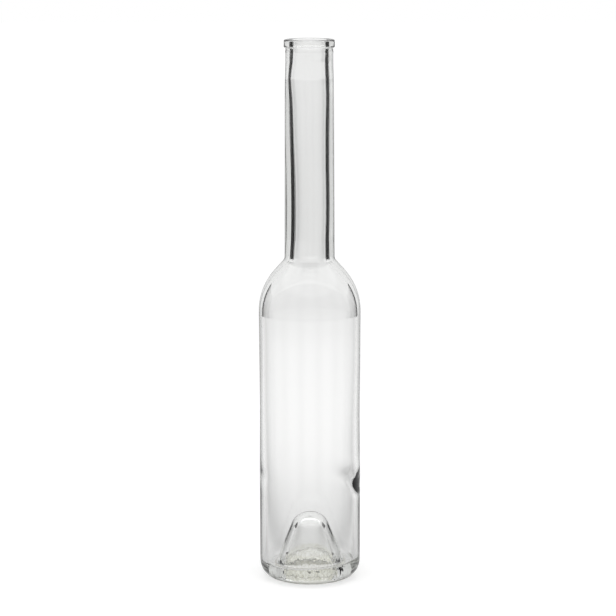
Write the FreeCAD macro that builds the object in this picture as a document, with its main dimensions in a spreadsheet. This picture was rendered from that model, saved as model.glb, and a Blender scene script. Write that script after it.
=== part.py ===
import FreeCAD, Part
import math
import os
import Sketcher

# A long-necked bottle of clear glass, blown in a two-part mould: one solid, turned about +Z.
# Millimetres and degrees. The origin is on the axis, in the plane that the bearing ring stands on.

SIZES = [
    ("overall_height", 308.0, "bearing ring to the top of the lip"),
    ("body_diameter", 57.8, "across the corner of the shoulder, the widest place"),
    ("panel_recess", 0.5, "how far the middle of the body lies inside that, on the radius"),
    ("panel_height", 98.0, "height of the middle of the body"),
    ("lower_ring_recess", 0.25, "how far the lower contact ring lies inside the body's radius"),
    ("lower_ring_height", 60.0, "height of the lower contact ring"),
    ("foot_recess", 0.45, "how far the foot lies inside the body's radius"),
    ("heel_round", 9.5, "radius between the foot and the bearing ring"),
    ("neck_root_height", 184.6, "where the lines of the neck and the shoulder cross"),
    ("neck_root_diameter", 28.1, "neck at its root"),
    ("neck_root_round", 3.6, "hollow radius between the neck and the shoulder"),
    ("shoulder_slope", 42.0, "angle of the shoulder's straight stretch from the axis"),
    ("shoulder_round", 35.2, "radius between the shoulder and the body"),
    ("neck_top_diameter", 27.3, "neck where it starts to draw in under the collar"),
    ("neck_top_drop", 24.0, "how far below the lip that is"),
    ("throat_diameter", 26.6, "neck right under the collar"),
    ("throat_drop", 12.0, "how far below the lip the throat reaches"),
    ("collar_diameter", 28.6, "collar round the mouth"),
    ("collar_height", 4.4, "height of the collar"),
    ("collar_round", 0.9, "outer top edge of the collar"),
    ("collar_under_round", 0.6, "outer lower edge of the collar"),
    ("mouth_diameter", 18.5, "bore that takes the cork"),
    ("mouth_depth", 12.0, "how deep the cork's bore stays cylindrical"),
    ("mouth_round", 0.9, "inner edge of the lip"),
    ("bore_bulge_diameter", 19.8, "widest place of the bore, below the mouth"),
    ("bore_bulge_drop", 22.0, "how far below the lip that is"),
    ("bore_waist_diameter", 18.0, "bore in the middle of the neck"),
    ("bore_waist_share", 0.415, "how far up the neck that is, as a share of the neck"),
    ("bore_narrow_diameter", 17.8, "narrowest place of the bore, a little above the root"),
    ("bore_narrow_share", 0.09, "how far up the neck that is, as a share of the neck"),
    ("bore_root_diameter", 18.8, "bore at the root of the neck"),
    ("bore_root_round", 7.0, "radius between the bore and the inside of the shoulder"),
    ("neck_root_wall", 4.2, "thickness of the shoulder at the root of the neck"),
    ("shoulder_wall", 3.1, "thickness of the shoulder where it turns into the body"),
    ("shoulder_inner_round", 32.0, "radius inside the shoulder"),
    ("upper_wall", 2.5, "thickness of the wall under the shoulder"),
    ("panel_wall", 2.5, "thickness of the wall in the middle of the body"),
    ("lower_wall", 2.9, "thickness of the wall at the lower contact ring"),
    ("foot_wall", 3.5, "thickness of the wall at the inner corner"),
    ("base_thickness", 9.5, "glass under the channel that runs round the push-up"),
    ("channel_width", 5.6, "width of that channel"),
    ("channel_wall_round", 1.6, "its radius on the side of the wall"),
    ("channel_foot_round", 2.0, "its radius on the side of the push-up"),
    ("push_up_flat", 2.4, "inside, across the flat on top of the push-up"),
    ("push_up_round", 10.0, "inside, radius of the crown"),
    ("crown_thickness", 3.9, "glass over the top of the punt"),
    ("bearing_width", 2.0, "flat of the bearing ring, from the heel to the punt"),
    ("punt_height", 33.6, "underside, depth of the punt"),
    ("punt_flat", 2.0, "underside, across the flat at the top of the punt"),
    ("punt_crown_round", 7.2, "underside, radius of the crown"),
    ("punt_mouth_round", 0.8, "edge between the punt and the bearing ring"),
    ("mouth_overcut", 1.0, "how far the cut for the inside starts above the lip"),
]


class Measure:
    """A number and the spreadsheet expression that gives it."""

    def __init__(self, value, formula):
        self.value = value
        self.formula = formula

    def __add__(self, other):
        return Measure(self.value + other.value, f"({self.formula} + {other.formula})")

    def __sub__(self, other):
        return Measure(self.value - other.value, f"({self.formula} - {other.formula})")

    def __mul__(self, other):
        return Measure(self.value * other.value, f"({self.formula} * {other.formula})")

    def __truediv__(self, other):
        return Measure(self.value / other.value, f"({self.formula} / {other.formula})")


ZERO = Measure(0.0, "0")
TWO = Measure(2.0, "2")


def sine(angle):
    return Measure(math.sin(math.radians(angle.value)), f"sin({angle.formula})")


def tangent(angle):
    return Measure(math.tan(math.radians(angle.value)), f"tan({angle.formula})")


def root(square):
    return Measure(math.sqrt(square.value), f"sqrt({square.formula})")


def write_sizes(doc):
    """Write the sizes into a spreadsheet, and give each one back as a measure."""
    sheet = doc.addObject("Spreadsheet::Sheet", "sizes")
    measures = {}
    for row, (name, value, note) in enumerate(SIZES, start=1):
        sheet.set(f"A{row}", name)
        sheet.set(f"B{row}", str(value))
        sheet.set(f"C{row}", note)
        sheet.setAlias(f"B{row}", name)
        measures[name] = Measure(value, f"sizes.{name}")
    doc.recompute()
    return measures


# ---- sketches: half sections, x is the distance from the axis and y the height

def new_sketch(body, name):
    """A sketch on the body's XZ plane, which holds the axis."""
    sketch = body.newObject("Sketcher::SketchObject", name)
    for plane in body.Origin.OriginFeatures:
        if plane.Role == "XZ_Plane":
            sketch.AttachmentSupport = [(plane, "")]
    sketch.MapMode = "FlatFace"
    return sketch


def tangent_arc(before, corner, after, radius):
    """The arc that rounds a corner: its geometry, its ends, and whether it turns left."""
    to_before = (before - corner).normalize()
    to_after = (after - corner).normalize()
    half_angle = to_before.getAngle(to_after) / 2
    reach = radius / math.tan(half_angle)
    first = corner + to_before * reach
    last = corner + to_after * reach
    bisector = (to_before + to_after).normalize()
    centre = corner + bisector * (radius / math.sin(half_angle))
    turns_left = to_before.cross(to_after).z < 0
    start, end = (first, last) if turns_left else (last, first)
    start_angle = math.atan2(start.y - centre.y, start.x - centre.x)
    end_angle = math.atan2(end.y - centre.y, end.x - centre.x)
    if end_angle < start_angle:
        end_angle += 2 * math.pi
    circle = Part.Circle(centre, FreeCAD.Vector(0, 0, 1), radius)
    return Part.ArcOfCircle(circle, start_angle, end_angle), first, last, turns_left


def bind(sketch, constraint, name, measure):
    """Add a constraint that has a size, and tie it to the spreadsheet."""
    number = sketch.addConstraint(constraint)
    sketch.renameConstraint(number, name)
    sketch.setExpression(f"Constraints.{name}", measure.formula)


def place_corner(sketch, name, geometry, end, radius, height):
    """Hold a point at its distance from the axis and its height."""
    origin = (-1, 1)
    base_line, axis = -1, -2
    if radius is ZERO:
        sketch.addConstraint(Sketcher.Constraint("PointOnObject", geometry, end, axis))
    else:
        across = Sketcher.Constraint("DistanceX", *origin, geometry, end, radius.value)
        bind(sketch, across, f"{name}_radius", radius)
    if height is ZERO:
        sketch.addConstraint(Sketcher.Constraint("PointOnObject", geometry, end, base_line))
    else:
        up = Sketcher.Constraint("DistanceY", *origin, geometry, end, height.value)
        bind(sketch, up, f"{name}_height", height)


def draw_outline(sketch, corners):
    """Draw a closed outline of straight lines, with an arc at each corner that has a round.

    Each corner is (name, distance from the axis, height, round or None).
    """
    count = len(corners)
    points = [FreeCAD.Vector(radius.value, height.value, 0) for _, radius, height, _ in corners]
    arcs = {}
    for number, (_, _, _, rounding) in enumerate(corners):
        if rounding is not None:
            around = (points[number - 1], points[number], points[(number + 1) % count])
            arcs[number] = tangent_arc(*around, rounding.value)

    for number in range(count):
        following = (number + 1) % count
        start = arcs[number][2] if number in arcs else points[number]
        end = arcs[following][1] if following in arcs else points[following]
        sketch.addGeometry(Part.LineSegment(start, end), False)

    for number, (name, radius, height, rounding) in enumerate(corners):
        line_in, line_out = (number - 1) % count, number
        if rounding is None:
            sketch.addConstraint(Sketcher.Constraint("Coincident", line_in, 2, line_out, 1))
            place_corner(sketch, name, line_out, 1, radius, height)
            continue
        geometry, _, _, turns_left = arcs[number]
        arc = sketch.addGeometry(geometry, False)
        arc_in, arc_out = (1, 2) if turns_left else (2, 1)
        sketch.addConstraint(Sketcher.Constraint("Tangent", line_in, 2, arc, arc_in))
        sketch.addConstraint(Sketcher.Constraint("Tangent", line_out, 1, arc, arc_out))
        bind(sketch, Sketcher.Constraint("Radius", arc, rounding.value), f"{name}_round", rounding)
        corner = sketch.addGeometry(Part.Point(points[number]), True)
        sketch.addConstraint(Sketcher.Constraint("PointOnObject", corner, 1, line_in))
        sketch.addConstraint(Sketcher.Constraint("PointOnObject", corner, 1, line_out))
        place_corner(sketch, name, corner, 1, radius, height)

    if sketch.solve() != 0 or not sketch.FullyConstrained:
        raise RuntimeError(f"the sketch {sketch.Name} isn't fully constrained")


# ---- the bottle's three half sections

def body_radius(size, recess):
    return size["body_diameter"] / TWO - size[recess]


def foot_radius(size):
    return body_radius(size, "foot_recess")


def below_lip(size, drop):
    return size["overall_height"] - size[drop]


def shoulder_corner_height(size):
    """Where the shoulder's straight stretch, drawn on, meets the body's radius."""
    spread = size["body_diameter"] / TWO - size["neck_root_diameter"] / TWO
    return size["neck_root_height"] - spread / tangent(size["shoulder_slope"])


def inner_shoulder_height(size, radius, wall):
    """Height, at a radius, of a face that lies a wall's thickness inside the shoulder's straight part."""
    inward = size["neck_root_diameter"] / TWO - radius
    outer = size["neck_root_height"] + inward / tangent(size["shoulder_slope"])
    return outer - size[wall] / sine(size["shoulder_slope"])


def up_the_neck(size, share):
    neck = size["overall_height"] - size["neck_root_height"]
    return size["neck_root_height"] + neck * size[share]


def crown_corner(flat, rounding, foot, rise):
    """Radius at which a flank, going from its foot over a rounded crown to a flat, would meet the flat."""
    flat_radius = flat / TWO
    reach = foot - flat_radius
    flank = root(reach * reach + rise * rise - TWO * rise * rounding)
    return flat_radius + rise * rounding / (reach + flank)


def outside(size):
    collar = size["collar_diameter"] / TWO
    throat = size["throat_diameter"] / TWO
    lip = size["overall_height"]
    return [
        ("base_centre", ZERO, ZERO, None),
        ("heel", foot_radius(size), ZERO, size["heel_round"]),
        ("lower_ring", body_radius(size, "lower_ring_recess"), size["lower_ring_height"], None),
        ("panel", body_radius(size, "panel_recess"), size["panel_height"], None),
        ("shoulder", size["body_diameter"] / TWO, shoulder_corner_height(size), size["shoulder_round"]),
        ("neck_root", size["neck_root_diameter"] / TWO, size["neck_root_height"], size["neck_root_round"]),
        ("neck_top", size["neck_top_diameter"] / TWO, below_lip(size, "neck_top_drop"), None),
        ("throat", throat, below_lip(size, "throat_drop"), None),
        ("collar_root", throat, lip - size["collar_height"], None),
        ("collar_under", collar, lip - size["collar_height"], None),
        ("collar_top", collar, lip, None),
        ("lip_centre", ZERO, lip, None),
    ]


def inside(size):
    mouth = size["mouth_diameter"] / TWO
    narrow = size["bore_narrow_diameter"] / TWO
    bore_root = size["bore_root_diameter"] / TWO
    bore_root_height = inner_shoulder_height(size, bore_root, "neck_root_wall")
    upper = size["body_diameter"] / TWO - size["upper_wall"]
    upper_height = inner_shoulder_height(size, upper, "shoulder_wall")
    corner = foot_radius(size) - size["foot_wall"]
    floor = size["base_thickness"]
    channel_foot = corner - size["channel_width"]
    crown = size["punt_height"] + size["crown_thickness"]
    crown_radius = crown_corner(size["push_up_flat"], size["push_up_round"], channel_foot, crown - floor)
    above = size["overall_height"] + size["mouth_overcut"]
    lower = body_radius(size, "lower_ring_recess") - size["lower_wall"]
    panel = body_radius(size, "panel_recess") - size["panel_wall"]
    return [
        ("crown_centre", ZERO, crown, None),
        ("crown", crown_radius, crown, size["push_up_round"]),
        ("channel_foot", channel_foot, floor, size["channel_foot_round"]),
        ("channel_wall", corner, floor, size["channel_wall_round"]),
        ("lower_wall", lower, size["lower_ring_height"], None),
        ("panel_wall", panel, size["panel_height"], None),
        ("upper_wall", upper, upper_height, size["shoulder_inner_round"]),
        ("bore_root", bore_root, bore_root_height, size["bore_root_round"]),
        ("bore_narrow", narrow, up_the_neck(size, "bore_narrow_share"), None),
        ("bore_waist", size["bore_waist_diameter"] / TWO, up_the_neck(size, "bore_waist_share"), None),
        ("bore_bulge", size["bore_bulge_diameter"] / TWO, below_lip(size, "bore_bulge_drop"), None),
        ("mouth_foot", mouth, below_lip(size, "mouth_depth"), None),
        ("mouth_above", mouth, above, None),
        ("mouth_centre", ZERO, above, None),
    ]


def punt_mouth_radius(size):
    return foot_radius(size) - size["heel_round"] - size["bearing_width"]


def underside(size):
    mouth = punt_mouth_radius(size)
    crown_radius = crown_corner(size["punt_flat"], size["punt_crown_round"], mouth, size["punt_height"])
    return [
        ("punt_centre", ZERO, ZERO, None),
        ("punt_mouth", mouth, ZERO, None),
        ("punt_crown", crown_radius, size["punt_height"], size["punt_crown_round"]),
        ("punt_top", ZERO, size["punt_height"], None),
    ]


# ---- features

def turn(doc, body, kind, name, corners):
    """Turn a half section about the axis, to add glass or to cut it away."""
    sketch = new_sketch(body, f"{name}_section")
    draw_outline(sketch, corners)
    feature = body.newObject(kind, name)
    feature.Profile = sketch
    feature.ReferenceAxis = (sketch, ["V_Axis"])
    feature.Angle = 360
    doc.recompute()
    return feature


def ring_edge(shape, radius, height):
    """Name of the round edge of that radius and height."""
    near = 1e-4
    for number, edge in enumerate(shape.Edges, start=1):
        curve = edge.Curve
        if not isinstance(curve, Part.Circle):
            continue
        if abs(curve.Radius - radius.value) < near and abs(curve.Center.z - height.value) < near:
            return f"Edge{number}"
    raise RuntimeError(f"no round edge of radius {radius.value} at height {height.value}")


def round_edge(doc, body, name, radius, height, rounding):
    base = body.Tip
    feature = body.newObject("PartDesign::Fillet", name)
    feature.Base = (base, [ring_edge(base.Shape, radius, height)])
    feature.Radius = rounding.value
    feature.setExpression("Radius", rounding.formula)
    doc.recompute()


def build_bottle(doc, size):
    body = doc.addObject("PartDesign::Body", "bottle")
    body.Label = "bottle"
    solid = turn(doc, body, "PartDesign::Revolution", "blown_form", outside(size))
    full_volume = solid.Shape.Volume
    hollow = turn(doc, body, "PartDesign::Groove", "hollow", inside(size))
    hollow_volume = hollow.Shape.Volume
    punt = turn(doc, body, "PartDesign::Groove", "punt", underside(size))
    if not full_volume > hollow_volume > punt.Shape.Volume:
        raise RuntimeError("a groove cuts nothing")

    lip = size["overall_height"]
    collar = size["collar_diameter"] / TWO
    round_edge(doc, body, "lip_edge", collar, lip, size["collar_round"])
    round_edge(doc, body, "collar_edge", collar, lip - size["collar_height"], size["collar_under_round"])
    round_edge(doc, body, "mouth_edge", size["mouth_diameter"] / TWO, lip, size["mouth_round"])
    round_edge(doc, body, "punt_edge", punt_mouth_radius(size), ZERO, size["punt_mouth_round"])
    return body


def check(doc, parts):
    """Stop on any failed object and on any part that isn't one closed, valid solid."""
    for thing in doc.Objects:
        for state in ("Invalid", "Error"):
            if state in thing.State:
                raise RuntimeError(f"{thing.Name} is {state}")
    for part in parts:
        shape = part.Shape
        if shape.isNull() or not shape.isValid() or len(shape.Solids) != 1:
            raise RuntimeError(f"{part.Label} isn't one valid solid")


def main():
    doc = FreeCAD.newDocument("glass_bottle")
    size = write_sizes(doc)
    bottle = build_bottle(doc, size)
    doc.recompute()
    check(doc, [bottle])
    os.makedirs("parts", exist_ok=True)
    bottle.Shape.exportStep(f"parts/{bottle.Label}.step")
    cubic_mm_per_ml = 1000.0
    print(f"{bottle.Label}: {bottle.Shape.Volume / cubic_mm_per_ml:.1f} ml of glass")


main()
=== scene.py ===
import math

import bpy
import numpy as np
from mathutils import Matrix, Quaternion, Vector


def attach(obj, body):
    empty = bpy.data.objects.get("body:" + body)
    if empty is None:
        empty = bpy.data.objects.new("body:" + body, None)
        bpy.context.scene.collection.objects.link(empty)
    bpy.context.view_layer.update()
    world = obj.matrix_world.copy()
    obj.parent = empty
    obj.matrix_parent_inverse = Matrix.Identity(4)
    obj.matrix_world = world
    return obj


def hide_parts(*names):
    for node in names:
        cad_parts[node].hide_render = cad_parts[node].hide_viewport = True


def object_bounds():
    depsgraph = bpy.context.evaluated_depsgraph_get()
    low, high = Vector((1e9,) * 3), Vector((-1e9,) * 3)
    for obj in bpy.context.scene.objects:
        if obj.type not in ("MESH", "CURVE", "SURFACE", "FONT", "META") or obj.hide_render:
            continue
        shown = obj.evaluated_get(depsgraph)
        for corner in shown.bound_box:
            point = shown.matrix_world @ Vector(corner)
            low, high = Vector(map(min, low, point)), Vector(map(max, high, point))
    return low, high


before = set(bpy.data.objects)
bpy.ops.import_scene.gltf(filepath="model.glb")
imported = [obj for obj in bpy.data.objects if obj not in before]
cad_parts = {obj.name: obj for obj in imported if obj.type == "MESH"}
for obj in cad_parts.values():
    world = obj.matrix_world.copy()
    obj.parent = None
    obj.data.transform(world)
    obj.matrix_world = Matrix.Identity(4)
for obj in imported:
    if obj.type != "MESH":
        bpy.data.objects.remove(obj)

cad_low, cad_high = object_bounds()
MM = 0.001

# ---- outside of the bottle, millimetres: radii, heights over the bearing ring, drops from the lip;
# the punt's corner is where its flank and its crown would meet without their rounding

HEIGHT = cad_high.z / MM
BODY = 57.8 / 2
PANEL_RECESS = 0.5
PANEL_HEIGHT = 98.0
LOWER_RING_RECESS = 0.25
LOWER_RING_HEIGHT = 60.0
FOOT = BODY - 0.45
HEEL_ROUND = 9.5
SHOULDER_SLOPE = math.radians(42.0)
SHOULDER_ROUND = 35.2
NECK_ROOT = 28.1 / 2
NECK_ROOT_HEIGHT = 184.6
NECK_ROOT_ROUND = 3.6
NECK_TOP = 27.3 / 2
NECK_TOP_DROP = 24.0
THROAT = 26.6 / 2
THROAT_DROP = 12.0
BEAD = 0.12
BEAD_HEIGHT = 301.3
BEAD_FOOT = 0.8
BEAD_FOOT_ROUND = 0.3
BEAD_CROWN = 0.3
BEAD_CROWN_ROUND = 0.2
COLLAR = 28.6 / 2
COLLAR_HEIGHT = 4.4
COLLAR_ROUND = 0.9
COLLAR_UNDER_ROUND = 0.6
COLLAR_ROOT_ROUND = 0.3
BEARING_WIDTH = 2.0
PUNT_MOUTH = FOOT - HEEL_ROUND - BEARING_WIDTH
PUNT_MOUTH_ROUND = 0.8
PUNT_HEIGHT = 33.6
PUNT_CORNER = 6.27
PUNT_CROWN_ROUND = 7.2

# ---- inside of the bottle, millimetres; the bore's places are shares of the neck or drops from the lip,
# and the push-up's corner is where its flank and its crown would meet without their rounding

MOUTH = 18.5 / 2
MOUTH_DEPTH = 12.0
MOUTH_ROUND = 0.9
LIP_MIDDLE = (MOUTH + COLLAR) / 2
BORE_BULGE = 19.8 / 2
BORE_BULGE_DROP = 22.0
BORE_WAIST = 18.0 / 2
BORE_WAIST_SHARE = 0.415
BORE_NARROW = 17.8 / 2
BORE_NARROW_SHARE = 0.09
BORE_ROOT = 18.8 / 2
BORE_ROOT_ROUND = 7.0
NECK_ROOT_WALL = 4.2
SHOULDER_WALL = 3.1
SHOULDER_INNER_ROUND = 32.0
UPPER_WALL = 2.5
PANEL_WALL = 2.5
LOWER_WALL = 2.9
FOOT_WALL = 3.5
BASE_THICKNESS = 9.5
CHANNEL_WIDTH = 5.6
CHANNEL_WALL_ROUND = 1.6
CHANNEL_FOOT_ROUND = 2.0
CROWN_THICKNESS = 3.9
PUSH_UP_CORNER = 7.92
PUSH_UP_ROUND = 10.0

# ---- how closely the section and the turn are stepped

STEPS = 224
CROWDING = 0.3
HEM = 0.2
SHORTEST_STEP = 0.3
ON_AXIS = 0.01
SMALL_ROUND = 1.0
SMALL_ROUND_STEP = math.radians(9.0)
ROUND_STEP = math.radians(5.0)
NO_LENGTH = 1e-6
SETTLED_FROM = 40.0
SETTLED_TO = 76.0
SETTLED_PACE = 1.6
INSIDE_PACE = 3.5
OUTSIDE_PACE = 5.0
GRAIN_PACE = 0.6

# ---- what the blowing leaves on the inner wall, millimetres

LEAN = 0.45
BULGE_LEAN = -0.40
BORE_SWELL = 0.18
SETTLED_LUMP = -2.1
HOLLOW_OVER_THE_LUMP = 0.25
SMALL_LUMP = -0.16
WIDE_WAVES = 0.025
NARROW_WAVES = 0.015
CHANNEL_LIFT = 0.35
CHANNEL_TILT = 0.85

# ---- what the mould leaves on the outer face, millimetres

SEAM_HEIGHT = 0.06
SEAM_WIDTH = 0.35
GRAIN_TOP = 4.5
GRAIN_TOP_INSIDE_THE_PUNT = 15.0
GRAIN_DEPTH = 0.18
GRAIN_SIZE = 0.75
GRAIN_FADE = 2.0
GRAIN_ON_THE_HEEL = 0.7
GRAIN_UP_IN_THE_PUNT = 0.4
GRAIN_CELLS = 64
GRAIN_SEED = 11
# size of the painted cream specks of light and shade on the stippled foot
PAINTED_SPECK_SIZE = 1.0
PUNT_ROUGHNESS = 0.03
HEEL_ROUGHNESS = 0.9


# ---- the section

def shoulder_height(radius, depth=0.0):
    """Height of the shoulder's cone, drawn on to a radius, on a face that lies `depth` inside the glass."""
    drop = (radius - NECK_ROOT) / math.tan(SHOULDER_SLOPE)
    return NECK_ROOT_HEIGHT - drop - depth / math.sin(SHOULDER_SLOPE)


def up_the_neck(share):
    return NECK_ROOT_HEIGHT + share * (HEIGHT - NECK_ROOT_HEIGHT)


def inside_corners():
    """From the crown of the push-up, out through the channel and up the wall to the lip."""
    wall_foot = FOOT - FOOT_WALL
    channel_foot = wall_foot - CHANNEL_WIDTH
    crown = PUNT_HEIGHT + CROWN_THICKNESS
    upper = BODY - UPPER_WALL
    return [
        (0.0, crown, 0.0),
        (PUSH_UP_CORNER, crown, PUSH_UP_ROUND),
        (channel_foot, BASE_THICKNESS, CHANNEL_FOOT_ROUND),
        (wall_foot, BASE_THICKNESS, CHANNEL_WALL_ROUND),
        (BODY - LOWER_RING_RECESS - LOWER_WALL, LOWER_RING_HEIGHT, 0.0),
        (BODY - PANEL_RECESS - PANEL_WALL, PANEL_HEIGHT, 0.0),
        (upper, shoulder_height(upper, SHOULDER_WALL), SHOULDER_INNER_ROUND),
        (BORE_ROOT, shoulder_height(BORE_ROOT, NECK_ROOT_WALL), BORE_ROOT_ROUND),
        (BORE_NARROW, up_the_neck(BORE_NARROW_SHARE), 0.0),
        (BORE_WAIST, up_the_neck(BORE_WAIST_SHARE), 0.0),
        (BORE_BULGE, HEIGHT - BORE_BULGE_DROP, 0.0),
        (MOUTH, HEIGHT - MOUTH_DEPTH, 0.0),
        (MOUTH, HEIGHT, MOUTH_ROUND),
        (LIP_MIDDLE, HEIGHT, 0.0),
    ]


def outside_corners():
    """From the lip, down the collar, the neck and the body to the bearing ring and the punt."""
    return [
        (LIP_MIDDLE, HEIGHT, 0.0),
        (COLLAR, HEIGHT, COLLAR_ROUND),
        (COLLAR, HEIGHT - COLLAR_HEIGHT, COLLAR_UNDER_ROUND),
        (THROAT, HEIGHT - COLLAR_HEIGHT, COLLAR_ROOT_ROUND),
        (THROAT, BEAD_HEIGHT + BEAD_FOOT, BEAD_FOOT_ROUND),
        (THROAT + BEAD, BEAD_HEIGHT + BEAD_CROWN, BEAD_CROWN_ROUND),
        (THROAT + BEAD, BEAD_HEIGHT - BEAD_CROWN, BEAD_CROWN_ROUND),
        (THROAT, BEAD_HEIGHT - BEAD_FOOT, BEAD_FOOT_ROUND),
        (THROAT, HEIGHT - THROAT_DROP, 0.0),
        (NECK_TOP, HEIGHT - NECK_TOP_DROP, 0.0),
        (NECK_ROOT, NECK_ROOT_HEIGHT, NECK_ROOT_ROUND),
        (BODY, shoulder_height(BODY), SHOULDER_ROUND),
        (BODY - PANEL_RECESS, PANEL_HEIGHT, 0.0),
        (BODY - LOWER_RING_RECESS, LOWER_RING_HEIGHT, 0.0),
        (FOOT, 0.0, HEEL_ROUND),
        (PUNT_MOUTH, 0.0, PUNT_MOUTH_ROUND),
        (PUNT_CORNER, PUNT_HEIGHT, PUNT_CROWN_ROUND),
        (0.0, PUNT_HEIGHT, 0.0),
    ]


def inside_pace(height):
    """How far apart the inner section's points lie: close where the glass settled, wider elsewhere."""
    return SETTLED_PACE if SETTLED_FROM < height < SETTLED_TO else INSIDE_PACE


def outside_pace(height):
    """How far apart the outer section's points lie: close on the stippled foot, wider elsewhere."""
    return GRAIN_PACE if height < GRAIN_TOP_INSIDE_THE_PUNT else OUTSIDE_PACE


def unit(vector):
    return vector / np.linalg.norm(vector)


def line_to(points, end, pace):
    """Carry a section on in a straight line, at the pace that belongs to the height.

    Each end has a point close by, so that the shading of a rounded corner doesn't run on into the straight.
    """
    start = points[-1]
    length = np.linalg.norm(end - start)
    if length < NO_LENGTH:
        return
    along = (end - start) / length
    hem = min(HEM, length / 3)
    points.append(start + along * hem)
    gone = hem + pace(start[1])
    while gone < length - hem - SHORTEST_STEP * pace(points[-1][1]):
        points.append(start + along * gone)
        gone += pace(points[-1][1])
    points.append(end - along * hem)
    points.append(end)


def turned_about(centre, arm, angle):
    across = np.array((-arm[1], arm[0]))
    return centre + arm * math.cos(angle) + across * math.sin(angle)


def arc_from(start, centre, end, pace):
    """The points of an arc that follow its start, up to its end."""
    first = start - centre
    last = end - centre
    rounding = np.linalg.norm(first)
    turn = math.atan2(first[0] * last[1] - first[1] * last[0], first @ last)
    step = SMALL_ROUND_STEP if rounding < SMALL_ROUND else ROUND_STEP
    parts = max(2, math.ceil(abs(turn) / step), math.ceil(abs(turn) * rounding / pace))
    return [turned_about(centre, first, turn * k / parts) for k in range(1, parts + 1)]


def rounded(corners, pace):
    """Points along an outline of straight lines and rounded corners, each (radius, height, rounding)."""
    points = [np.array(corners[0][:2])]
    for before, corner, after in zip(corners, corners[1:], corners[2:]):
        here = np.array(corner[:2])
        rounding = corner[2]
        if rounding == 0.0:
            line_to(points, here, pace)
            continue
        back = unit(np.array(before[:2]) - here)
        on = unit(np.array(after[:2]) - here)
        half = math.acos(float(np.clip(back @ on, -1, 1))) / 2
        reach = rounding / math.tan(half)
        centre = here + unit(back + on) * rounding / math.sin(half)
        line_to(points, here + back * reach, pace)
        points.extend(arc_from(points[-1], centre, here + on * reach, pace(here[1])))
    line_to(points, np.array(corners[-1][:2]), pace)
    return np.array(points)


def section_line(points):
    """A mesh of one line along a section."""
    mesh = bpy.data.meshes.new("bottle_section")
    lines = [(k, k + 1) for k in range(len(points) - 1)]
    mesh.from_pydata([(radius * MM, 0.0, height * MM) for radius, height in points], lines, [])
    section = bpy.data.objects.new("bottle_section", mesh)
    bpy.context.collection.objects.link(section)
    return section


# ---- short hands for node trees

class Nodes:
    """A node tree in which nodes go by type, and values and links are written alike."""

    def __init__(self, tree):
        self.tree = tree

    def node(self, kind, **settings):
        made = self.tree.nodes.new(kind)
        for name, value in settings.items():
            setattr(made, name, value)
        return made

    def link(self, start, end):
        self.tree.links.new(start, end)

    def fill(self, socket, value):
        """Link a socket to another one, or set it to a number or a colour."""
        if isinstance(value, bpy.types.NodeSocket):
            self.link(value, socket)
        else:
            socket.default_value = value

    def maths(self, operation, *values, clamped=False):
        made = self.node("ShaderNodeMath", operation=operation, use_clamp=clamped)
        for socket, value in zip(made.inputs, values):
            self.fill(socket, value)
        return made.outputs[0]

    def sum_of_products(self, *pairs):
        total = 0.0
        for first, second in pairs:
            total = self.maths("MULTIPLY_ADD", first, second, total)
        return total

    def parted(self, vector):
        made = self.node("ShaderNodeSeparateXYZ")
        self.link(vector, made.inputs[0])
        return made.outputs

    def ramp(self, value, start, end, low=0.0, high=1.0):
        """Goes from low to high as a value goes from start to end, and stays level before and after."""
        made = self.node("ShaderNodeMapRange")
        self.link(value, made.inputs["Value"])
        made.inputs["From Min"].default_value = start
        made.inputs["From Max"].default_value = end
        made.inputs["To Min"].default_value = low
        made.inputs["To Max"].default_value = high
        return made.outputs["Result"]

    def mirrored_ray(self, path):
        """One where a ray comes from a mirror image, nought where it comes through glass."""
        glossy = path.outputs["Is Glossy Ray"]
        return self.maths("SUBTRACT", glossy, path.outputs["Is Transmission Ray"], clamped=True)


class Shape(Nodes):
    """A geometry node tree with named inputs."""

    def __init__(self, name):
        super().__init__(bpy.data.node_groups.new(name, "GeometryNodeTree"))

    def socket(self, name, kind, way="INPUT", value=None):
        made = self.tree.interface.new_socket(name=name, in_out=way, socket_type=kind)
        if value is not None:
            made.default_value = value
        return made.identifier


class Shader(Nodes):
    """A material's node tree."""

    def __init__(self, name):
        self.material = bpy.data.materials.new(name)
        self.material.use_nodes = True
        super().__init__(self.material.node_tree)
        self.tree.nodes.clear()
        self.out = self.node("ShaderNodeOutputMaterial")


# ---- turning the section about the axis

def grid_of_section_by_steps(shape, given):
    """A flat grid with a row for each point of the section and a column for each step of the turn."""
    count = shape.node("GeometryNodeAttributeDomainSize", component="MESH")
    shape.link(given.outputs["Section"], count.inputs[0])
    rows = count.outputs["Point Count"]
    grid = shape.node("GeometryNodeMeshGrid")
    shape.link(shape.maths("ADD", given.outputs["Steps"], 1), grid.inputs["Vertices X"])
    shape.link(rows, grid.inputs["Vertices Y"])
    index = shape.node("GeometryNodeInputIndex").outputs[0]
    step = shape.maths("FLOOR", shape.maths("DIVIDE", shape.maths("ADD", index, 0.5), rows))
    row = shape.maths("SUBTRACT", index, shape.maths("MULTIPLY", step, rows))
    return grid.outputs["Mesh"], row, step


def angle_of_step(shape, given, step):
    """Angle of a step, with the steps crowded towards the two seams of the mould."""
    even = shape.maths("MULTIPLY", shape.maths("DIVIDE", step, given.outputs["Steps"]), 2 * math.pi)
    share = shape.maths("MULTIPLY", given.outputs["Crowding at the seams"], 0.5)
    pull = shape.maths("MULTIPLY", shape.maths("SINE", shape.maths("MULTIPLY", even, 2.0)), share)
    return shape.maths("SUBTRACT", pull, even)


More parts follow.
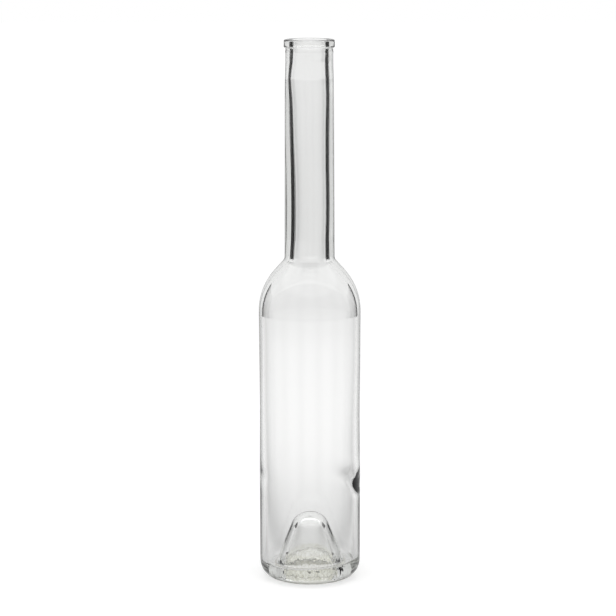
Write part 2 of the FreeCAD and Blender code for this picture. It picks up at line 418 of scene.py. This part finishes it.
def place_on_the_turn(shape, given, row, angle):
    """Where a point of the section comes to lie when it is turned by an angle."""
    sample = shape.node("GeometryNodeSampleIndex", data_type="FLOAT_VECTOR", domain="POINT")
    shape.link(given.outputs["Section"], sample.inputs["Geometry"])
    shape.link(shape.node("GeometryNodeInputPosition").outputs[0], sample.inputs["Value"])
    shape.link(row, sample.inputs["Index"])
    point = shape.parted(sample.outputs["Value"])
    bent = shape.node("ShaderNodeCombineXYZ")
    shape.link(shape.maths("MULTIPLY", point["X"], shape.maths("COSINE", angle)), bent.inputs["X"])
    shape.link(shape.maths("MULTIPLY", point["X"], shape.maths("SINE", angle)), bent.inputs["Y"])
    shape.link(point["Z"], bent.inputs["Z"])
    return bent.outputs[0]


def turning_tree():
    """Turns a section line about the Z axis: a grid of section points by steps, bent round and closed."""
    shape = Shape("turn_on_the_axis")
    shape.socket("Section", "NodeSocketGeometry")
    inputs = {
        "steps": shape.socket("Steps", "NodeSocketInt", value=STEPS),
        "crowding": shape.socket("Crowding at the seams", "NodeSocketFloat", value=CROWDING),
        "glass": shape.socket("Glass", "NodeSocketMaterial"),
    }
    shape.socket("Shell", "NodeSocketGeometry", way="OUTPUT")
    given = shape.node("NodeGroupInput")
    grid, row, step = grid_of_section_by_steps(shape, given)
    moved = shape.node("GeometryNodeSetPosition")
    shape.link(grid, moved.inputs["Geometry"])
    place = place_on_the_turn(shape, given, row, angle_of_step(shape, given, step))
    shape.link(place, moved.inputs["Position"])
    merged = shape.node("GeometryNodeMergeByDistance")
    merged.inputs["Distance"].default_value = 0.001 * MM
    shape.link(moved.outputs[0], merged.inputs["Geometry"])
    smooth = shape.node("GeometryNodeSetShadeSmooth")
    shape.link(merged.outputs[0], smooth.inputs["Geometry"])
    real = shape.node("GeometryNodeRealizeInstances")
    shape.link(smooth.outputs[0], real.inputs[0])
    painted = shape.node("GeometryNodeSetMaterial")
    shape.link(real.outputs[0], painted.inputs["Geometry"])
    shape.link(given.outputs["Glass"], painted.inputs["Material"])
    shape.link(painted.outputs[0], shape.node("NodeGroupOutput").inputs[0])
    return shape.tree, inputs


# ---- what blowing and moulding leave on the glass

def smooth_step(values, start, end):
    """Rises from nought at the start to one at the end, or falls where the end lies below the start."""
    share = np.clip((values - start) / (end - start), 0.0, 1.0)
    return share * share * (3.0 - 2.0 * share)


def hump(values, middle, width):
    """One at the middle, falling off to nothing a few widths away."""
    return np.exp(-((values - middle) / width) ** 2)


def hump_towards(angle, bearing, width):
    """A hump round a bearing in degrees, the short way round."""
    away = np.angle(np.exp(1j * (angle - math.radians(bearing))))
    return hump(away, middle=0.0, width=math.radians(width))


def bore_stray(height):
    """How far the bore leans to the right, and how far it swells, along the neck."""
    in_neck = smooth_step(height, start=180.0, end=212.0) * smooth_step(height, start=262.0, end=215.0)
    lean = LEAN * in_neck
    bulge_lean = BULGE_LEAN * hump(height, middle=287.0, width=9.0)
    return lean + bulge_lean, BORE_SWELL * hump(height, middle=284.0, width=15.0)


def settled_glass(angle, height):
    """Where the glass settled low in the body: a lump at the right, and a small one across from it."""
    right = hump_towards(angle, bearing=12.0, width=30.0)
    left = hump_towards(angle, bearing=188.0, width=26.0)
    lump = SETTLED_LUMP * hump(height, middle=55.3, width=4.1)
    hollow = HOLLOW_OVER_THE_LUMP * hump(height, middle=65.0, width=4.0)
    return right * (lump + hollow) + SMALL_LUMP * left * hump(height, middle=60.0, width=4.0)


def body_waves(angle, height):
    """Slow waves in the thickness of the body's wall."""
    in_body = smooth_step(height, start=24.0, end=40.0) * smooth_step(height, start=160.0, end=140.0)
    wide = WIDE_WAVES * np.sin(3.0 * angle + height / 17.0)
    narrow = NARROW_WAVES * np.sin(5.0 * angle - height / 11.0 + 1.3)
    return in_body * (wide + narrow)


def channel_lift(angle, radius, height):
    """How far the floor of the channel stands up, more at the right than at the left."""
    in_channel = smooth_step(height, start=30.0, end=13.0) * smooth_step(radius, start=8.0, end=16.0)
    return in_channel * (CHANNEL_LIFT + CHANNEL_TILT * np.cos(angle))


def mould_seams(angle, radius, height):
    """How far the two seams of the mould stand out of the outer face."""
    off_seam = np.abs(np.sin(angle)) * radius
    over_the_heel = smooth_step(height, start=3.0, end=9.0)
    under_the_collar = smooth_step(height, start=HEIGHT - 5.5, end=HEIGHT - 7.0)
    return SEAM_HEIGHT * over_the_heel * under_the_collar * hump(off_seam, middle=0.0, width=SEAM_WIDTH)


def stipple(place, radius, height):
    """The mould's grain on the bearing ring and the foot of the punt: how far outward and how far up."""
    cells = (GRAIN_CELLS, GRAIN_CELLS, GRAIN_CELLS)
    chance = np.random.default_rng(GRAIN_SEED).uniform(0.0, 1.0, cells)
    cell = np.floor(place / GRAIN_SIZE).astype(int) % GRAIN_CELLS
    depth = GRAIN_DEPTH * chance[cell[:, 0], cell[:, 1], cell[:, 2]]
    low = smooth_step(height, start=GRAIN_TOP, end=GRAIN_TOP - GRAIN_FADE)
    on_heel = GRAIN_ON_THE_HEEL * low * (radius > PUNT_MOUTH)
    top = GRAIN_TOP_INSIDE_THE_PUNT
    in_punt = smooth_step(height, start=top, end=top - GRAIN_FADE) * (radius <= PUNT_MOUTH)
    return depth * (in_punt - on_heel), depth * (GRAIN_UP_IN_THE_PUNT * in_punt + on_heel)


def belongs_inside(radius, height, points, inner_count):
    """Whether the nearest point of the section is one of the inner wall's."""
    nearest = [np.argmin((points[:, 0] - r) ** 2 + (points[:, 1] - z) ** 2) for r, z in zip(radius, height)]
    return np.array(nearest) < inner_count


def as_blown(mesh, points, inner_count):
    """Move the turned glass's points the little way by which a blown bottle differs from its drawing."""
    place = np.zeros(len(mesh.vertices) * 3)
    mesh.vertices.foreach_get("co", place)
    place = place.reshape(-1, 3) / MM
    radius = np.hypot(place[:, 0], place[:, 1])
    height = place[:, 2].copy()
    angle = np.arctan2(place[:, 1], place[:, 0])
    off_axis = radius > ON_AXIS
    outward = np.stack([np.cos(angle), np.sin(angle), np.zeros_like(angle)], axis=1)

    inner = belongs_inside(radius, height, points, inner_count)
    lean, swell = bore_stray(height)
    swell = swell + settled_glass(angle, height) + body_waves(angle, height)
    place[inner, 0] += (lean * off_axis)[inner]
    place[inner] += (outward * (swell * off_axis)[:, None])[inner]
    place[inner, 2] += channel_lift(angle, radius, height)[inner]

    outer = ~inner
    grain_out, grain_up = stipple(place, radius, height)
    stands_out = (mould_seams(angle, radius, height) + grain_out) * off_axis
    place[outer] += (outward * stands_out[:, None])[outer]
    place[outer, 2] += grain_up[outer]
    mesh.vertices.foreach_set("co", (place * MM).ravel())
    mesh.update()


def turned_bottle(glass):
    inner = rounded(inside_corners(), inside_pace)
    outer = rounded(outside_corners(), outside_pace)
    points = np.concatenate([inner, outer])
    section = section_line(points)
    group, inputs = turning_tree()
    modifier = section.modifiers.new("turn", "NODES")
    modifier.node_group = group
    modifier[inputs["steps"]] = STEPS
    modifier[inputs["crowding"]] = CROWDING
    modifier[inputs["glass"]] = glass
    evaluated = section.evaluated_get(bpy.context.evaluated_depsgraph_get())
    mesh = bpy.data.meshes.new_from_object(evaluated)
    section.modifiers.remove(modifier)
    bpy.data.objects.remove(section)
    as_blown(mesh, points, len(inner))
    bottle = bpy.data.objects.new("clear_bottle", mesh)
    bpy.context.collection.objects.link(bottle)
    return bottle


# ---- glass

GLASS_IOR = 1.52
GLASS_IN_THE_THICK = (0.50, 0.52, 0.48, 1.0)
ABSORPTION = 20.0
LIGHT_IN_ITS_SHADOW = (0.82, 0.82, 0.82, 1.0)
CLEAR = (1.0, 1.0, 1.0, 1.0)
# painted cream specks, darker and paler, in the stippled foot's colour: the light and shade its stipple
# scatters, as clear glass has no cream tint
PAINTED_SHADE_SPECK = (0.70, 0.69, 0.60, 1.0)
PAINTED_LIT_SPECK = (1.0, 1.0, 0.95, 1.0)
FLANK_LEAN = 0.38


def stippled_foot(shader):
    """Two masks: one on the stippled flank of the punt, the other on the bearing ring."""
    place = shader.node("ShaderNodeTexCoord").outputs["Object"]
    height = shader.parted(place)["Z"]
    flat = shader.node("ShaderNodeVectorMath", operation="MULTIPLY")
    flat.inputs[1].default_value = (1.0, 1.0, 0.0)
    shader.link(place, flat.inputs[0])
    radius = shader.node("ShaderNodeVectorMath", operation="LENGTH")
    shader.link(flat.outputs["Vector"], radius.inputs[0])
    reach = shader.maths("MULTIPLY_ADD", height, FLANK_LEAN, radius.outputs["Value"])
    under_the_flank = shader.ramp(reach, start=20.8 * MM, end=20.0 * MM)
    as_high_as_the_grain = shader.ramp(height, start=GRAIN_TOP_INSIDE_THE_PUNT * MM, end=13.5 * MM)
    punt = shader.maths("MULTIPLY", under_the_flank, as_high_as_the_grain)
    return punt, shader.ramp(height, start=3.5 * MM, end=2.0 * MM)


def blended(shader, share, start, end):
    """A colour on its way from one to another."""
    mixed = shader.node("ShaderNodeMix", data_type="RGBA")
    factor, first, second = mixed.inputs[0], mixed.inputs[6], mixed.inputs[7]
    shader.fill(factor, share)
    shader.fill(first, start)
    shader.fill(second, end)
    return mixed.outputs[2]


def painted_scatter_specks(shader):
    """Painted cream specks on the stippled face, on the piece's own coordinates: they stand in for the
    light and shade that its stipple scatters.
    """
    place = shader.node("ShaderNodeTexCoord")
    noise = shader.node("ShaderNodeTexNoise")
    noise.inputs["Scale"].default_value = 1.0 / (PAINTED_SPECK_SIZE * MM)
    noise.inputs["Detail"].default_value = 1.0
    shader.link(place.outputs["Object"], noise.inputs["Vector"])
    dots = shader.ramp(noise.outputs["Fac"], start=0.38, end=0.62)
    return blended(shader, dots, PAINTED_SHADE_SPECK, PAINTED_LIT_SPECK)


def flint_glass():
    """Clear bottle glass, smooth and fire-polished but for its stippled foot, a trace grey in the thick."""
    shader = Shader("flint_glass")
    body = shader.node("ShaderNodeBsdfPrincipled")
    punt, heel = stippled_foot(shader)
    # the stippled foot's colour carries painted cream specks of light and shade
    shader.link(blended(shader, punt, CLEAR, painted_scatter_specks(shader)), body.inputs["Base Color"])
    rough = shader.sum_of_products((punt, PUNT_ROUGHNESS), (heel, HEEL_ROUGHNESS))
    shader.link(rough, body.inputs["Roughness"])
    body.inputs["IOR"].default_value = GLASS_IOR
    body.inputs["Transmission Weight"].default_value = 1.0
    clear = shader.node("ShaderNodeBsdfTransparent")
    clear.inputs["Color"].default_value = LIGHT_IN_ITS_SHADOW
    path = shader.node("ShaderNodeLightPath")
    mixed = shader.node("ShaderNodeMixShader")
    shader.link(path.outputs["Is Shadow Ray"], mixed.inputs[0])
    shader.link(body.outputs[0], mixed.inputs[1])
    shader.link(clear.outputs[0], mixed.inputs[2])
    shader.link(mixed.outputs[0], shader.out.inputs["Surface"])
    tint = shader.node("ShaderNodeVolumeAbsorption")
    tint.inputs["Color"].default_value = GLASS_IN_THE_THICK
    tint.inputs["Density"].default_value = ABSORPTION
    shader.link(tint.outputs[0], shader.out.inputs["Volume"])
    return shader.material


# ---- studio floor

FLOOR_SIDE = 5.0
FLOOR_DROP = 0.0001
FLOOR_GREY = (0.8, 0.8, 0.8, 1.0)
SECTORS = 8
DARK_ROOM = 0.35
BRIGHT_BACKDROP = 2.4

# rings of the floor: distance from the bottle in metres, what is added to its own light for the camera,
# how bright it shows through glass, how much of that is missing between its bright sectors,
# and how bright it is in a mirror
# Through glass the floor is all glow and takes no real shadow; its lower level near the bottle is a painted
# shadow of the bottle.
FLOOR_RINGS = [
    (0.00, 0.41, 0.78, 0.00, 0.75),
    (0.03, 0.41, 0.79, 0.05, 0.75),
    (0.06, 0.41, 0.81, 0.12, 0.20),
    (0.13, 0.41, 0.88, 0.26, 0.20),
    (0.18, 0.41, 0.92, 0.28, 0.20),
    (0.27, 0.41, 1.01, 0.30, 0.20),
    (0.36, 0.41, 1.05, 0.31, 0.20),
    (0.66, 0.44, 1.03, 0.31, 0.20),
    (0.80, 0.46, 0.97, 0.26, 0.20),
    (0.96, 0.48, 0.92, 0.22, 0.20),
    (1.28, 0.52, 0.87, 0.15, 0.20),
    (1.68, 0.56, 0.87, 0.15, 0.20),
    (2.20, 0.60, 0.89, 0.15, 0.20),
    (3.00, 0.63, 0.91, 0.15, 0.20),
    (3.50, 0.65, 0.97, 0.15, 0.20),
    (3.90, 0.65, 0.95, 0.15, 0.20),
    (5.00, 0.65, 0.91, 0.15, 0.20),
]


def ring_level(shader, share, column):
    """The level that a column of the floor's rings gives at a share of the farthest ring's distance."""
    farthest = FLOOR_RINGS[-1][0]
    rings = shader.node("ShaderNodeFloatCurve")
    curve = rings.mapping.curves[0]
    curve.points[0].location = (0.0, FLOOR_RINGS[0][column])
    curve.points[1].location = (1.0, FLOOR_RINGS[-1][column])
    for ring in FLOOR_RINGS[1:-1]:
        curve.points.new(ring[0] / farthest, ring[column])
    rings.mapping.update()
    shader.link(share, rings.inputs["Value"])
    return rings.outputs[0]


def ring_levels(shader, place):
    """The four levels of the floor's rings at a place on it."""
    away = shader.node("ShaderNodeVectorMath", operation="LENGTH")
    shader.link(place, away.inputs[0])
    share = shader.maths("DIVIDE", away.outputs["Value"], FLOOR_RINGS[-1][0])
    return [ring_level(shader, share, column) for column in (1, 2, 3, 4)]


def between_sectors(shader, place):
    """One midway between two bright sectors of the floor, nought along the middle of each."""
    bearing = shader.maths("ARCTAN2", place["X"], place["Y"])
    wave = shader.maths("SINE", shader.maths("MULTIPLY", bearing, SECTORS / 2))
    square = shader.maths("MULTIPLY", wave, wave)
    return shader.maths("MULTIPLY", square, square)


def floor_surface():
    """Pale and matt, white to the camera, and graded in rings where it shows through glass."""
    shader = Shader("studio_floor")
    place = shader.node("ShaderNodeTexCoord").outputs["Object"]
    parted = shader.parted(place)
    looked_at, through, missing, in_mirror = ring_levels(shader, place)
    lost = shader.maths("MULTIPLY", between_sectors(shader, parted), missing)
    kept = shader.maths("SUBTRACT", through, lost)
    behind = shader.ramp(parted["Y"], start=-0.10, end=0.25, low=DARK_ROOM, high=BRIGHT_BACKDROP)
    in_mirror = shader.maths("MULTIPLY", in_mirror, behind)

    path = shader.node("ShaderNodeLightPath")
    matt = shader.node("ShaderNodeBsdfDiffuse")
    matt.inputs["Color"].default_value = FLOOR_GREY
    glow = shader.node("ShaderNodeEmission")
    shader.link(shader.maths("MULTIPLY", path.outputs["Is Camera Ray"], looked_at), glow.inputs["Strength"])
    seen = shader.node("ShaderNodeAddShader")
    shader.link(matt.outputs[0], seen.inputs[0])
    shader.link(glow.outputs[0], seen.inputs[1])

    in_glass = shader.node("ShaderNodeEmission")
    rays = [(path.outputs["Is Transmission Ray"], kept), (shader.mirrored_ray(path), in_mirror)]
    shader.link(shader.sum_of_products(*rays), in_glass.inputs["Strength"])
    either = shader.node("ShaderNodeMixShader")
    shader.link(path.outputs["Is Glossy Ray"], either.inputs[0])
    shader.link(seen.outputs[0], either.inputs[1])
    shader.link(in_glass.outputs[0], either.inputs[2])
    shader.link(either.outputs[0], shader.out.inputs["Surface"])
    return shader.material


def plane(name, corners, material):
    mesh = bpy.data.meshes.new(name)
    mesh.from_pydata(corners, [], [(0, 1, 2, 3)])
    mesh.materials.append(material)
    made = bpy.data.objects.new(name, mesh)
    bpy.context.collection.objects.link(made)
    return made


def studio_floor():
    ends = [(-1, -1), (1, -1), (1, 1), (-1, 1)]
    corners = [(FLOOR_SIDE * x, FLOOR_SIDE * y, -FLOOR_DROP) for x, y in ends]
    return plane("studio_floor", corners, floor_surface())


# ---- black flags, lamp and surroundings; bearings in degrees from the back, distances in metres

FLAG_BEARING = 53.0
FLAG_WIDTH = 34.0
FLAG_DISTANCE = 0.99
FLAG_TOP = 0.48
FLAG_BLACK = (0.01, 0.01, 0.01, 1.0)
LAMP_PLACE = (0.0, -0.3, 1.6)
LAMP_AIM = (0.0, 0.0, 0.15)
LAMP_SIZE = 1.2
LAMP_POWER = 12.0
WORLD_LIT = 0.5
WORLD_THROUGH = 0.94
SOFTBOX = 0.9
MIRRORED_FRONT = 0.08
MIRRORED_BACK = 0.6


def flag_cloth():
    shader = Shader("black_flag")
    matt = shader.node("ShaderNodeBsdfDiffuse")
    matt.inputs["Color"].default_value = FLAG_BLACK
    shader.link(matt.outputs[0], shader.out.inputs["Surface"])
    return shader.material


def black_flags():
    """Upright black cards, left and right, which draw the dark lines along the bottle's walls.

    The camera sees past them.
    """
    cloth = flag_cloth()
    lift = Vector((0.0, 0.0, FLAG_TOP))
    for number, bearing in enumerate((FLAG_BEARING, 360.0 - FLAG_BEARING)):
        ends = [math.radians(bearing + side * FLAG_WIDTH / 2) for side in (-1, 1)]
        feet = [Vector((math.sin(a), math.cos(a), 0.0)) * FLAG_DISTANCE for a in ends]
        card = plane(f"flag_{number}", [feet[0], feet[1], feet[1] + lift, feet[0] + lift], cloth)
        card.visible_camera = False
        card.visible_diffuse = False
        card.visible_glossy = False
        card.visible_shadow = False


def top_softbox():
    lamp = bpy.data.lights.new("top_softbox", "AREA")
    lamp.shape = "RECTANGLE"
    lamp.size = LAMP_SIZE
    lamp.size_y = LAMP_SIZE
    lamp.energy = LAMP_POWER
    made = bpy.data.objects.new("top_softbox", lamp)
    made.location = LAMP_PLACE
    made.rotation_euler = (Vector(LAMP_AIM) - Vector(LAMP_PLACE)).to_track_quat("-Z", "Y").to_euler()
    made.visible_glossy = False
    made.visible_transmission = False
    bpy.context.collection.objects.link(made)


def studio_world():
    """White to the eye, a little less through glass, dimmer in a mirror, and a soft light elsewhere."""
    world = bpy.data.worlds.new("studio")
    world.use_nodes = True
    sky = Nodes(world.node_tree)
    sky.tree.nodes.clear()
    back = sky.node("ShaderNodeBackground")
    back.inputs["Color"].default_value = CLEAR
    path = sky.node("ShaderNodeLightPath")
    through = path.outputs["Is Transmission Ray"]
    towards = sky.parted(sky.node("ShaderNodeTexCoord").outputs["Generated"])
    overhead = sky.maths("MULTIPLY", sky.ramp(towards["Z"], start=0.60, end=0.70), through)
    low = MIRRORED_FRONT - WORLD_LIT
    high = MIRRORED_BACK - WORLD_LIT
    mirrored = sky.ramp(towards["Y"], start=-0.1, end=0.4, low=low, high=high)
    changes = sky.sum_of_products(
        (path.outputs["Is Camera Ray"], 1.0 - WORLD_LIT),
        (through, WORLD_THROUGH - WORLD_LIT),
        (overhead, SOFTBOX),
        (sky.mirrored_ray(path), mirrored),
    )
    sky.link(sky.maths("ADD", changes, WORLD_LIT), back.inputs["Strength"])
    sky.link(back.outputs[0], sky.node("ShaderNodeOutputWorld").inputs["Surface"])
    bpy.context.scene.world = world


# ---- camera, metres

CAMERA_DISTANCE = 1.490
CAMERA_HEIGHT = 0.41176
CAMERA_SIDE = -0.00095
AIM_HEIGHT = 0.1562
FOCAL_LENGTH = 155.93
FILM_WIDTH = 36.0
FARTHEST = 50.0
ROLL = math.radians(-0.09)


def camera():
    """A long lens a little above the bottle's mouth."""
    view = bpy.data.cameras.new("camera")
    view.sensor_width = FILM_WIDTH
    view.lens = FOCAL_LENGTH
    view.clip_end = FARTHEST
    made = bpy.data.objects.new("camera", view)
    made.location = (CAMERA_SIDE, -CAMERA_DISTANCE, CAMERA_HEIGHT)
    towards = (Vector((CAMERA_SIDE, 0.0, AIM_HEIGHT)) - made.location).to_track_quat("-Z", "Y")
    made.rotation_euler = (towards @ Quaternion((0.0, 0.0, 1.0), ROLL)).to_euler()
    bpy.context.collection.objects.link(made)
    bpy.context.scene.camera = made


glass = flint_glass()
bottle = turned_bottle(glass)
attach(bottle, "root")
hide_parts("bottle")

studio_floor()
black_flags()
top_softbox()
studio_world()
camera()
bpy.context.scene.view_settings.view_transform = "Standard"
